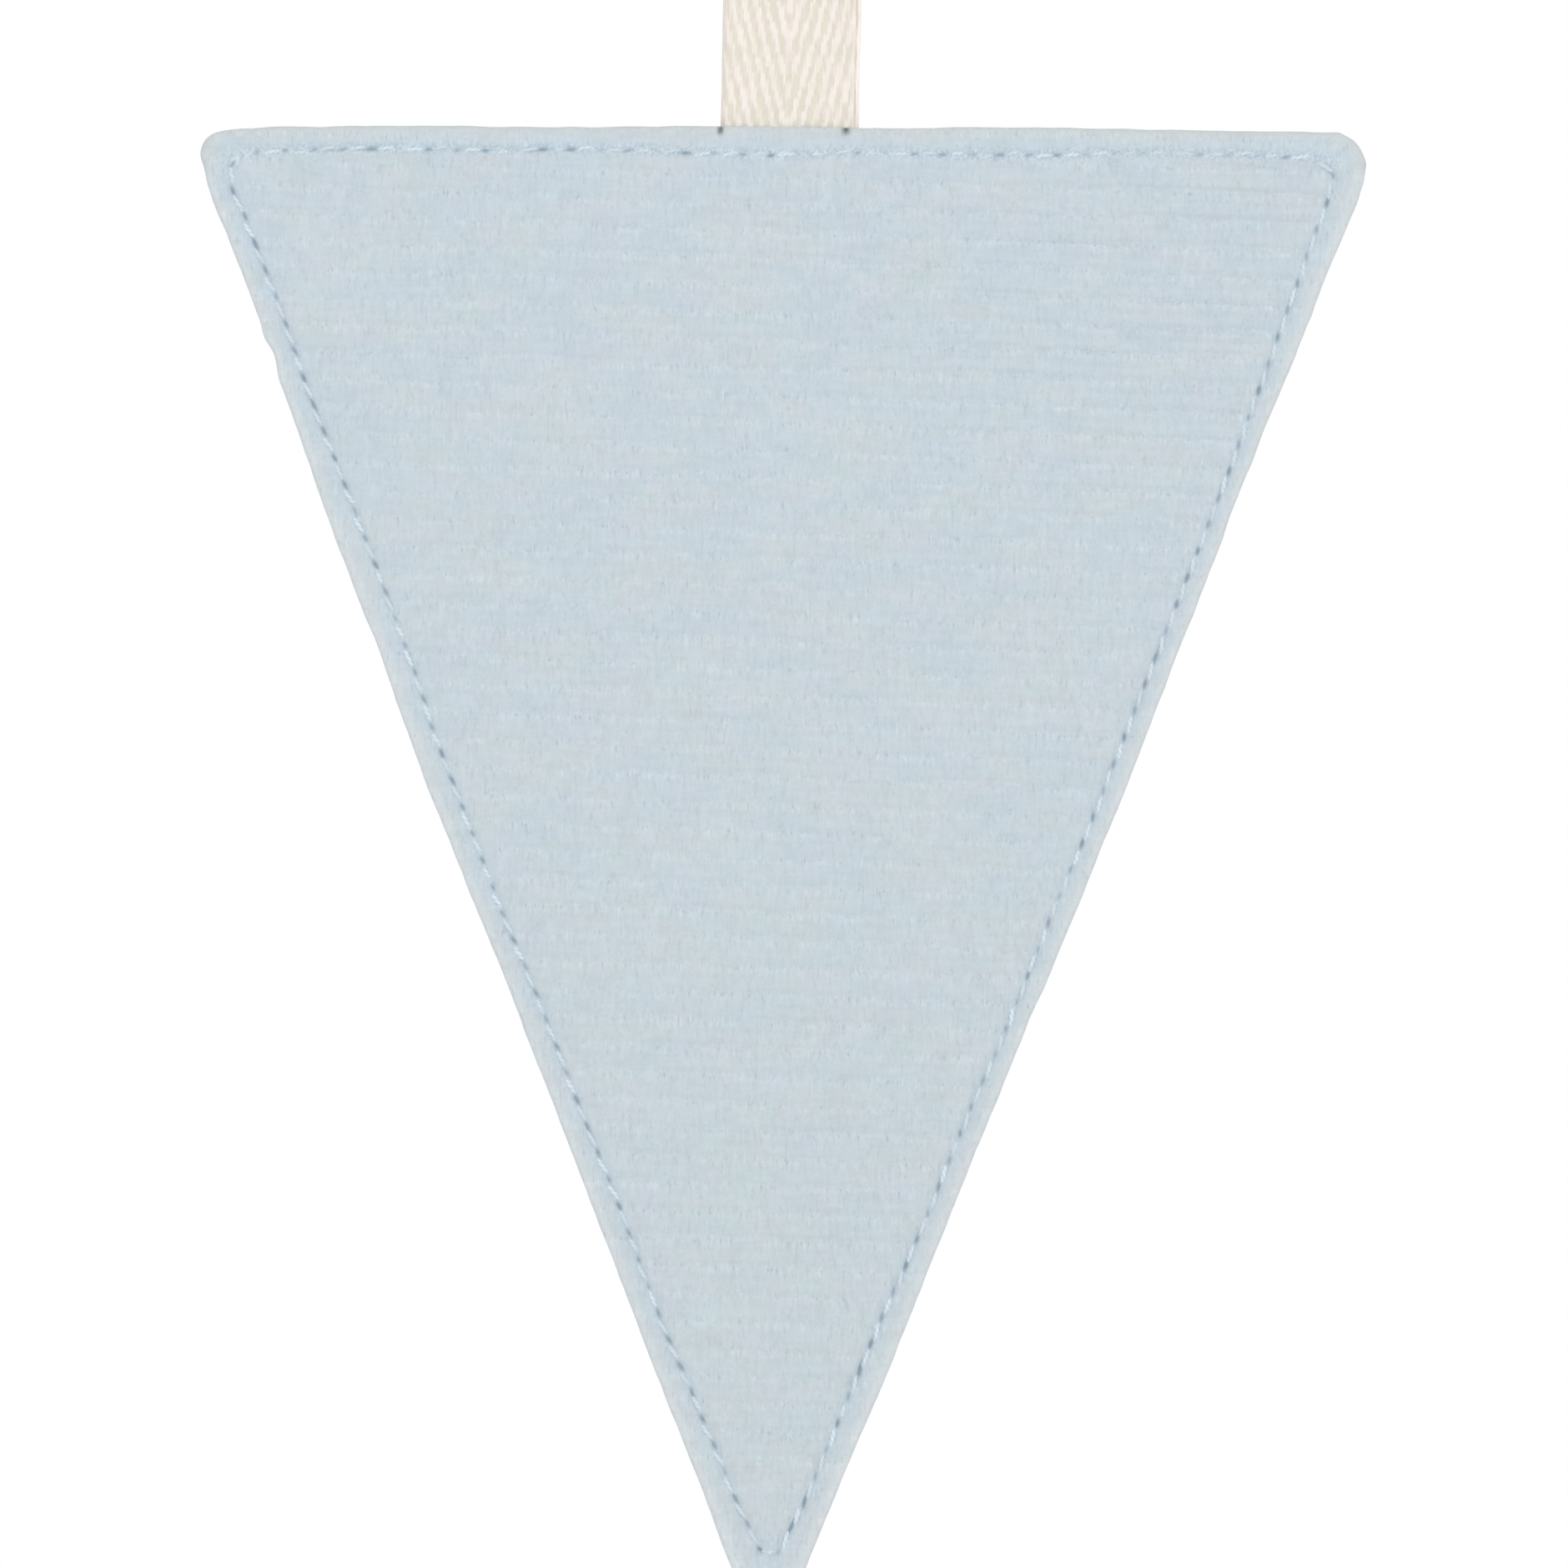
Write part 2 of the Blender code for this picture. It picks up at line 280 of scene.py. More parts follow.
class Sewing(bpy.types.PropertyGroup):
    """The row of topstitching."""

    inset: size("Inset", "From the turned edge to the topstitching", 0.0026)
    pitch: size("Stitch length", "From one needle hole to the next", 0.0032)
    thread: size("Thread width", "Width of the sewing thread", 0.00070)
    slant: angle("Slant", "Turn of each stitch against its row", 11.0)
    hole_depth: size("Hole depth", "Depth of a needle hole's dimple", 0.00034)
    hole_length: size("Hole length", "Half length of a needle hole", 0.00076)
    hole_side: size("Hole offset", "From the row to a needle hole, towards the field", 0.00006)
    hole_width: size("Hole width", "Half width of a needle hole", 0.00025)
    seed: number("Seed", "Start of the random unevenness", 7)


class TapeLoop(bpy.types.PropertyGroup):
    """The folded hanging tape."""

    width: size("Width", "Width of the tape", 0.0150)
    thick: size("Thickness", "Thickness of the tape", 0.00064)
    seat: size("Leg spacing", "From one leg's middle to the other's", 0.00069)
    rise: size("Rise", "From the top edge to the inside of the loop's crown", 0.0280)
    crown_rise: size("Crown line", "From the inside of the crown to the tape's middle", 0.0005)
    tail: size("Tail", "Length of each end inside the seam", 0.0070)
    neck: size("Neck", "Height above the top edge at which the legs part", 0.0130)
    crown: size("Crown radius", "Radius of the tape's middle at the crown", 0.0040)
    shift: size("Leg shift", "How far right the back leg lies of the front one", 0.00050)
    lean: angle("Lean", "How much the tape leans to the right, going up", 1.25)
    warp: size("Warp pitch", "From one lengthwise yarn to the next", 0.00032)
    pick: size("Pick step", "Drop of the weave from one yarn to the next", 0.00123)
    relief: size("Weave relief", "Height of a yarn where it floats", 0.00011)
    edge: size("Edge width", "Width of the firm edge at each side", 0.00070)


class Finishes(bpy.types.PropertyGroup):
    """Colours as they look in even white light; some of them hold painted light and shade."""

    cord_blue: colour("Cord blue", "The cord's bluer patches", 200.4, 213.5, 223.0)
    cord_grey: colour("Cord grey", "The cord's greyer patches", 204.7, 214.6, 220.6)
    cord_green: colour("Cord green", "Faint greener touches", 199.7, 215.1, 219.0)
    cord_violet: colour("Cord violet", "Faint violet touches", 205.5, 212.3, 222.3)
    cord_low: colour("Cord near the tip", "Slightly warmer towards the tip", 200.6, 210.9, 215.3)
    # Painted light: a lighter turned edge stands in for the pile's sheen and makes up for the shading of
    # its rounded slope
    cord_rim_light: colour("Cord rim", "The turned edge", 219, 226, 230)
    # Painted light along the top edge, kept less bright than at the sides, where the light falls less
    cord_top_rim_light: colour("Cord top", "The turned edge along the top", 208, 215, 217)
    # Painted shade: a darker, bluer tone in the furrow beside the topstitching
    cord_seam_shade: colour("Cord by the stitches", "Cloth beside the topstitching", 193, 210, 222)
    # Painted shade in the needle holes, also the colour of the pile's dark flecks
    cord_fleck_and_hole_shade: colour("Cord in the holes", "Cloth in a needle hole", 156, 173, 187)
    # Painted shadow in the gap where the seam opens beside the tape
    cord_gap_shadow: colour("Cord in the gaps", "Where the seam opens beside the tape", 106, 106, 96)
    thread: colour("Thread", "The sewing thread", 229, 241, 250)
    tape_yarn: colour("Tape yarn", "Floating yarns of the tape", 249, 242, 236)
    # Painted shade in the low ground between the floating yarns
    tape_ground_shade: colour("Tape ground", "Between the floating yarns", 229, 222, 209)
    tape_blush: colour("Tape blush", "Faint warm touches on the tape", 248, 235, 231)
    tape_olive: colour("Tape olive", "Faint greener touches on the tape", 234, 231, 213)
    floor: colour("Floor", "The plain floor", 236, 236, 234)


class Studio(bpy.types.PropertyGroup):
    """Camera, light and floor."""

    distance: size("Camera distance", "From the camera to the pennant", 1.2)
    picture: size("Picture width", "Width of the picture at the pennant", 0.17620)
    centre_x: size("Picture centre X", "Place of the picture's middle, across", -0.00099)
    centre_z: size("Picture centre Z", "Place of the picture's middle, in height", -0.10185)
    ambient: amount("Ambient", "Strength of the even light from all round", 0.80)
    key: amount("Key light", "Power of the main light, in watts", 8.3)
    floor_drop: size("Floor drop", "How far below the loop the floor lies", 0.60)
    floor_radius: size("Floor radius", "Radius of the floor", 3.0)


GROUPS = {
    "pennant_cut": PennantCut,
    "pennant_cloth": CordCloth,
    "pennant_sewing": Sewing,
    "pennant_tape": TapeLoop,
    "pennant_finishes": Finishes,
    "pennant_studio": Studio,
}


# Curves and unevenness


def ease(share):
    share = np.clip(share, 0.0, 1.0)
    return share * share * (3.0 - 2.0 * share)


def between(table, at, column):
    """A column of a table in millimetres at places in metres, smoothly between its rows."""
    rows = np.array(table) * MM
    at = np.clip(at, rows[0, 0], rows[-1, 0])
    i = np.clip(np.searchsorted(rows[:, 0], at, side="right") - 1, 0, len(rows) - 2)
    share = ease((at - rows[i, 0]) / (rows[i + 1, 0] - rows[i, 0]))
    return rows[i, column] + share * (rows[i + 1, column] - rows[i, column])


def swell(across, up, seed):
    """Smooth random heights from about -1 to 1, with one swell for each unit."""
    dice = np.random.default_rng(seed)
    table = dice.uniform(-1.0, 1.0, (64, 64))
    i, j = np.floor(across).astype(int), np.floor(up).astype(int)
    a, b = ease(across - i), ease(up - j)

    def knot(di, dj):
        return table[(i + di) % 64, (j + dj) % 64]

    low = knot(0, 0) * (1 - a) + knot(1, 0) * a
    high = knot(0, 1) * (1 - a) + knot(1, 1) * a
    return low * (1 - b) + high * b


# Outline of the pennant


class Outline:
    """The pennant's edge, and the lines that run inside it, as places in X and Z."""

    SIDES = ("left", "right", "top")
    LEAST_RADIUS = 0.8 * MM

    def __init__(self, cut, sewing, top_z):
        half = cut.top_width / 2
        self.cut, self.sewing, self.top_z = cut, sewing, top_z
        self.corners = np.array(
            [
                (cut.middle - half, top_z + cut.top_fall / 2),
                (cut.middle + cut.tip_shift, top_z - cut.drop),
                (cut.middle + half, top_z - cut.top_fall / 2),
            ]
        )
        self.radii = (cut.corner_radius, cut.tip_radius, cut.corner_radius)
        runs = np.roll(self.corners, -1, axis=0) - self.corners
        self.lengths = np.linalg.norm(runs, axis=1)
        along = runs / self.lengths[:, None]
        self.out = np.stack([along[:, 1], -along[:, 0]], axis=1)

    def stand(self, side, x, z, inward):
        """How far outside its straight line a side stands, stray of the stitches included."""
        if side == "top":
            waver = between(TOP_WAVER, x - self.cut.middle, 1)
            stray = between(TOP_STRAY, x - self.cut.middle, 1)
        else:
            column = 1 if side == "left" else 2
            waver = between(SIDE_WAVER, self.top_z - z, column)
            stray = between(SIDE_STRAY, self.top_z - z, column)
        fine = FINE_WAVER * (swell(x / 0.0031, z / 0.0031, 31) + 0.5 * swell(x / 0.0012, z / 0.0012, 32))
        waver = waver + fine * MM * (1.0 - ease(inward / 0.0018))
        return waver - (stray + waver) * ease(inward / self.sewing.inset)

    def arc(self, i, inward):
        """Centre and radius of the corner before side i, and the angle it turns through."""
        before, after = self.out[i - 1], self.out[i]
        turn = math.acos(before @ after)
        radius = max(self.radii[i] - inward * (1.0 - CORNER_KEEP[i]), self.LEAST_RADIUS)
        way = (before + after) / np.linalg.norm(before + after)
        return self.corners[i] - way * (inward + radius) / math.cos(turn / 2), radius, turn

    def line(self, inward, step):
        """Points of the line that runs a distance inside the edge, anticlockwise."""
        points = []
        for i, side in enumerate(self.SIDES):
            extra = CORNER_STRAY[i] * MM * ease(inward / self.sewing.inset)
            centre, radius, turn = self.arc(i, inward + extra)
            before, after = self.out[i - 1], self.out[i]
            share = np.arange(round(self.radii[i] * turn / step) + 1.0)
            share /= len(share)
            ways = (
                np.outer(np.sin((1 - share) * turn), before) + np.outer(np.sin(share * turn), after)
            ) / math.sin(turn)
            places = centre + ways * radius
            first = extra + self.stand(self.SIDES[i - 1], *places.T, inward)
            last = extra + self.stand(side, *places.T, inward)
            stand = first + (last - first) * ease(share)
            points.append(places + ways * stand[:, None])

            next_extra = CORNER_STRAY[(i + 1) % 3] * MM * ease(inward / self.sewing.inset)
            end, end_radius, _ = self.arc((i + 1) % 3, inward + next_extra)
            share = np.arange(float(round(self.lengths[i] / step)))
            share /= len(share)
            start, finish = centre + after * (radius + extra), end + after * (end_radius + next_extra)
            places = start + share[:, None] * (finish - start)
            points.append(places + after * self.stand(side, *places.T, inward)[:, None])
        return np.concatenate(points)

    def inward(self, x, z):
        """How far inside the nearest straight side a place lies."""
        place = np.stack([x, z], axis=-1)
        gaps = [(corner - place) @ out for corner, out in zip(self.corners, self.out)]
        return np.min(gaps, axis=0)


def spaced(points, step):
    """Points at an even step along a closed line, with the direction of travel at each."""
    closed = np.vstack([points, points[:1]])
    lengths = np.linalg.norm(np.diff(closed, axis=0), axis=1)
    run = np.concatenate([[0.0], np.cumsum(lengths)])
    count = round(run[-1] / step)
    at = np.arange(count) / count * run[-1]
    places = np.stack([np.interp(at, run, closed[:, k]) for k in (0, 1)], axis=1)
    ahead = np.roll(places, -1, axis=0) - np.roll(places, 1, axis=0)
    return places, ahead / np.linalg.norm(ahead, axis=1)[:, None]


# Shape of the cloth


def leg_x(tape, z):
    """Middle of the tape's front leg at a height."""
    return z * math.tan(tape.lean)


def pocket_height(tape):
    """Height of a panel's inside over the tape's end."""
    return (tape.seat + tape.thick) / 2 + 0.1 * MM


def tape_cover(tape, x, z, shift):
    """From 0 away from the tape's end to 1 over it."""
    side = np.abs(x - leg_x(tape, z) - shift) - tape.width / 2
    down = -tape.rise - z - tape.tail
    return (1.0 - ease((side - 0.3 * MM) / (3.4 * MM))) * (1.0 - ease((down - 1.0 * MM) / (4.0 * MM)))


def rib_place(cloth, x, z):
    """Place along and across the ribs."""
    tilt = cloth.rib_tilt
    return x * math.cos(tilt) - z * math.sin(tilt), z * math.cos(tilt) + x * math.sin(tilt)


def rib_height(cloth, x, z):
    """Broad ribs with narrow grooves, each a little uneven along its length."""
    along, across = rib_place(cloth, x, z)
    wander = 0.08 * swell(along / 0.012, across / 0.009, 3)
    level = across / cloth.rib_pitch + wander
    phase = level - np.floor(level)
    groove = np.exp(-((np.minimum(phase, 1.0 - phase) / 0.11) ** 2))
    half = np.exp(-(((phase - 0.5) / 0.10) ** 2))
    strength = 1.0 + 0.45 * swell(along / 0.006, np.floor(level) * 1.7, 4)
    strength = strength * (1.0 + 1.1 * ease((x - 0.005) / 0.045) * ease((z + 0.095) / 0.045))
    return -cloth.rib_relief * groove * strength - cloth.half_relief * half * strength


def stitch_holes(outline, sewing):
    """Needle holes round the topstitching, and the direction of travel at each."""
    return spaced(outline.line(sewing.inset, 0.5 * MM), sewing.pitch)


def hole_share(x, z, holes, ways, sewing, facing):
    """From 0 on plain cloth to 1 in a needle hole, worked out near the row only."""
    share = np.zeros(len(x))
    reach = 1.6 * MM
    dice = np.random.default_rng(sewing.seed + (facing < 0) + 10)
    for (hx, hz), (wx, wz) in zip(holes, ways):
        turn = facing * sewing.slant * dice.uniform(0.0, 1.5)
        hx, hz = hx - wz * sewing.hole_side * facing, hz + wx * sewing.hole_side * facing
        on_top = wx < -0.8
        wx, wz = wx * math.cos(turn) - wz * math.sin(turn), wx * math.sin(turn) + wz * math.cos(turn)
        near = np.flatnonzero((np.abs(x - hx) < reach) & (np.abs(z - hz) < reach))
        dx, dz = x[near] - hx, z[near] - hz
        along, beside = dx * wx + dz * wz, dz * wx - dx * wz
        long = sewing.hole_length * dice.uniform(0.75, 1.25)
        spot = np.exp(-((along / long) ** 2) - (beside / sewing.hole_width) ** 2)
        strength = dice.uniform(0.25, 0.85) if on_top else dice.uniform(0.55, 1.0)
        share[near] = np.maximum(share[near], spot * strength)
    return share


def notch_share(outline, tape, x, z, shift):
    """From 0 on plain cloth to 1 where the seam opens beside the tape."""
    middle = leg_x(tape, z) + shift
    down = outline.top_z - z
    left = (x - middle + tape.width / 2) / (0.30 * MM)
    right = (x - middle - tape.width / 2 + 0.92 * MM) / (0.42 * MM)
    depth = (down - 0.40 * MM) / (0.50 * MM)
    return np.exp(-np.minimum(left**2, right**2) - depth**2)


def rounded(section, inward):
    rows = np.array(section) * MM
    return np.interp(inward, rows[2:, 0], rows[2:, 1])


def panel_heights(outline, scene, x, z, inward, section_height, facing):
    """Height of the outside over the middle plane, and the share of holes."""
    cloth, sewing, tape = scene.pennant_cloth, scene.pennant_sewing, scene.pennant_tape
    shift = 0.0 if facing > 0 else tape.shift
    inside = ease((inward - sewing.inset) / (1.1 * MM))
    cover = tape_cover(tape, x, z, shift)
    rough = swell(x / (0.8 * MM), z / (1.1 * MM), 11) * 0.018 * MM
    soft = cloth.uneven * (swell(x / 0.019, z / 0.013, 5) + 0.5 * swell(x / 0.007, z / 0.006, 6))
    rim = ease(inward / (1.5 * MM)) * (1.0 - inside)
    pucker = 0.05 * MM * swell(x / (2.4 * MM), z / (2.4 * MM), 8) * rim
    lifted = pocket_height(tape) * cover + section_height * (1.0 - (1.0 - COVER_SHARE) * cover)
    height = lifted + inside * (rib_height(cloth, x, z) + soft * (1.0 - cover)) + rough + pucker
    holes, ways = stitch_holes(outline, sewing)
    hole = hole_share(x, z, holes, ways, sewing, facing)
    notch = notch_share(outline, tape, x, z, shift)
    height = height - sewing.hole_depth * hole - 0.6 * notch * section_height
    return height, hole, notch


def loop_faces(start, other, count):
    """Quads between two loops of points that start at two numbers."""
    k = np.arange(count)
    n = (k + 1) % count
    return np.stack([start + k, start + n, other + n, other + k], axis=1).tolist()


def filled(boundary, inner, start, inner_start):
    """Triangles that fill a closed loop of points, through more points inside it."""
    count = len(boundary)
    flat = np.vstack([boundary, inner]) / MM
    edges = [(k, (k + 1) % count) for k in range(count)]
    verts, _, faces, origins, _, _ = delaunay_2d_cdt([Vector(p) for p in flat], edges, [], 1, 1e-5, True)
    if len(verts) != len(flat):
        raise RuntimeError("the outline's points met, so the cloth can't be filled")
    place = [o[0] for o in origins]
    number_of = [start + p if p < count else inner_start + p - count for p in place]
    return [
        [number_of[v] for v in face] for face in faces if not outside([place[v] for v in face], count)
    ]


def outside(corners, count):
    """Whether a triangle between three points of an anticlockwise loop lies outside it."""
    first = corners.index(min(corners))
    return max(corners) < count and corners[(first + 1) % 3] > corners[(first + 2) % 3]


def lattice(outline, least, across_step, up_step, tilt):
    """Points on staggered rows inside the outline, along the ribs."""
    low = outline.corners.min(axis=0) - 0.02
    high = outline.corners.max(axis=0) + 0.02
    rows = np.arange(low[1], high[1], up_step)
    columns = np.arange(low[0], high[0], across_step)
    along, up = np.meshgrid(columns, rows)
    along = along + (np.arange(len(rows)) % 2)[:, None] * across_step / 2
    x = along * math.cos(tilt) + up * math.sin(tilt)
    z = up * math.cos(tilt) - along * math.sin(tilt)
    x, z = x.ravel(), z.ravel()
    keep = outline.inward(x, z) > least
    return np.stack([x[keep], z[keep]], axis=1)


def panel_mesh(name, scene, facing):
    """One turned panel: a fine outside, its rolled rim, and a coarse inside."""
    cut, cloth = scene.pennant_cut, scene.pennant_cloth
    sewing, tape = scene.pennant_sewing, scene.pennant_tape
    shift = 0.0 if facing > 0 else tape.shift
    outline = Outline(cut, sewing, -tape.rise)
    lines = [outline.line(inward * MM, cloth.rim_step) for inward, _ in RIM_SECTION]
    count = len(lines[0])
    last = RIM_SECTION[-1][0] * MM
    field = lattice(outline, last, cloth.column_step, cloth.row_step, cloth.rib_tilt)
    field = field[inside_loop(field, lines[-1], 0.35 * cloth.column_step)]
    hollow = lattice(outline, 2.0 * MM, cloth.lining_step, cloth.lining_step, 0.0)
    close = lattice(outline, 0.8 * MM, 0.001, 0.001, 0.0)
    hollow = np.vstack(
        [
            hollow[np.abs(hollow[:, 1] + tape.rise) >= 2 * tape.tail],
            close[np.abs(close[:, 1] + tape.rise) < 2 * tape.tail],
        ]
    )
    hollow = hollow[inside_loop(hollow, lines[0], 0.4 * MM)]

    flat = np.vstack(lines + [field])
    inward = np.concatenate(
        [np.full(count, row[0] * MM) for row in RIM_SECTION]
        + [outline.inward(*field.T)]
    )
    section = np.concatenate(
        [np.full(count, row[1] * MM) for row in RIM_SECTION]
        + [rounded(RIM_SECTION, np.maximum(outline.inward(*field.T), last))]
    )
    height, hole, notch = panel_heights(outline, scene, *flat.T, inward, section, facing)
    seam = 0.02 * MM + tape_cover(tape, *hollow.T, shift) * pocket_height(tape)
    places = np.vstack([flat, hollow])
    heights = np.concatenate([height, seam])
    points = np.stack([places[:, 0], -facing * heights, places[:, 1]], axis=1)

    faces = []
    for k in range(len(lines) - 1):
        faces += loop_faces(k * count, (k + 1) * count, count)
    field_start = len(lines) * count
    faces += filled(lines[-1], field, (len(lines) - 1) * count, field_start)
    back = filled(lines[0], hollow, 0, len(flat))
    faces += [face[::-1] for face in back]
    if facing < 0:
        faces = [face[::-1] for face in faces]
    piece = new_piece(name, points, faces)
    inset = np.concatenate([inward, np.full(len(hollow), last)])
    add_values(piece, "inset", inset / MM)
    add_values(piece, "upper", ease((places[:, 1] + tape.rise + 6.0 * MM) / (2.0 * MM)))
    # The hole and notch shares also carry the painted shade of the needle holes and the painted shadow
    # in the seam's gaps
    add_values(piece, "hole", np.concatenate([hole, np.zeros(len(hollow))]))
    add_values(piece, "notch", np.concatenate([notch, np.zeros(len(hollow))]))
    return piece


def inside_loop(points, loop, least):
    """Whether each point lies to the left of the nearest stretch of a loop, and clear of it."""
    tree = KDTree(len(loop))
    for k, (x, z) in enumerate(loop):
        tree.insert((x, z, 0.0), k)
    tree.balance()
    ahead = np.roll(loop, -1, axis=0) - np.roll(loop, 1, axis=0)
    nearest = np.array([tree.find((x, z, 0.0))[1:] for x, z in points])
    k = nearest[:, 0].astype(int)
    off = points - loop[k]
    left = ahead[k, 0] * off[:, 1] - ahead[k, 1] * off[:, 0]
    return (left > 0.0) & (nearest[:, 1] > least)


# Meshes


def new_piece(name, points, faces):
    mesh = bpy.data.meshes.new(name)
    mesh.from_pydata(points.tolist(), [], faces)
    mesh.validate()
    mesh.shade_smooth()
    piece = bpy.data.objects.new(name, mesh)
    bpy.context.scene.collection.objects.link(piece)
    return piece


def add_values(piece, name, values):
    """Stores one number for each point, for the material to read."""
    layer = piece.data.attributes.new(name, "FLOAT", "POINT")
    layer.data.foreach_set("value", np.asarray(values, dtype=np.float32))


def check_place(piece, node, spare):
    """Stops the script if a piece strays further than it may from the node it stands for."""
    low, high = (Vector(c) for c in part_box(node))
    corners = [piece.matrix_world @ v.co for v in piece.data.vertices]
    for k in range(3):
        least, most = min(c[k] for c in corners), max(c[k] for c in corners)
        if least < low[k] - spare or most > high[k] + spare:
            raise RuntimeError(f"{piece.name} leaves the space of {node}")


# Materials


class Finish:
    """A material and short ways to add its nodes."""

    def __init__(self, name):
        self.material = bpy.data.materials.new(name)
        self.material.use_nodes = True
        self.tree = self.material.node_tree
        self.shader = self.tree.nodes["Principled BSDF"]

    def node(self, kind, **values):
        made = self.tree.nodes.new(kind)
        for key, value in values.items():
            setattr(made, key, value)
        return made

    def link(self, source, socket):
        if isinstance(source, (int, float, tuple)):
            socket.default_value = source
        else:
            self.tree.links.new(source, socket)

    def math(self, operation, first, second=0.0, third=0.0):
        made = self.node("ShaderNodeMath", operation=operation)
        for socket, source in zip(made.inputs, (first, second, third)):
            self.link(source, socket)
        return made.outputs[0]

    def mix(self, share, first, second):
        made = self.node("ShaderNodeMix", data_type="RGBA")
        for key, source in (("Factor", share), ("A", first), ("B", second)):
            sockets = [s for s in made.inputs if s.name == key and s.enabled]
            self.link(source, sockets[0])
        return [s for s in made.outputs if s.enabled][0]

    def scaled(self, vector, scale):
        made = self.node("ShaderNodeVectorMath", operation="MULTIPLY")
        self.link(vector, made.inputs[0])
        self.link(scale, made.inputs[1])
        return made.outputs[0]

    def toned(self, tone, shade):
        """A colour made lighter or darker by a number."""
        made = self.node("ShaderNodeVectorMath", operation="SCALE")
        self.link(tone[:3] if isinstance(tone, tuple) else tone, made.inputs[0])
        self.link(shade, made.inputs["Scale"])
        return made.outputs[0]

    def noise(self, vector, scale, detail=2.0, roughness=0.5):
        made = self.node("ShaderNodeTexNoise")
        self.link(self.scaled(vector, scale), made.inputs["Vector"])
        made.inputs["Scale"].default_value = 1.0
        made.inputs["Detail"].default_value = detail
        made.inputs["Roughness"].default_value = roughness
        return made.outputs[0]

    def remap(self, value, low, high, to_low=0.0, to_high=1.0):
        made = self.node("ShaderNodeMapRange", interpolation_type="SMOOTHSTEP")
        for key, source in (
            ("Value", value),
            ("From Min", low),
            ("From Max", high),
            ("To Min", to_low),
            ("To Max", to_high),
        ):
            self.link(source, made.inputs[key])
        return made.outputs[0]

    def value_of(self, name):
        return self.node("ShaderNodeAttribute", attribute_name=name).outputs["Fac"]

    def place(self):
        return self.node("ShaderNodeTexCoord").outputs["Object"]

    def bump(self, height, strength, distance):
        made = self.node("ShaderNodeBump")
        made.inputs["Strength"].default_value = strength
        made.inputs["Distance"].default_value = distance
        self.link(height, made.inputs["Height"])
        self.link(made.outputs[0], self.shader.inputs["Normal"])

    def set(self, **values):
        for key, value in values.items():
            self.shader.inputs[key.replace("_", " ")].default_value = value


def rgba(shade):
    return (shade[0], shade[1], shade[2], 1.0)


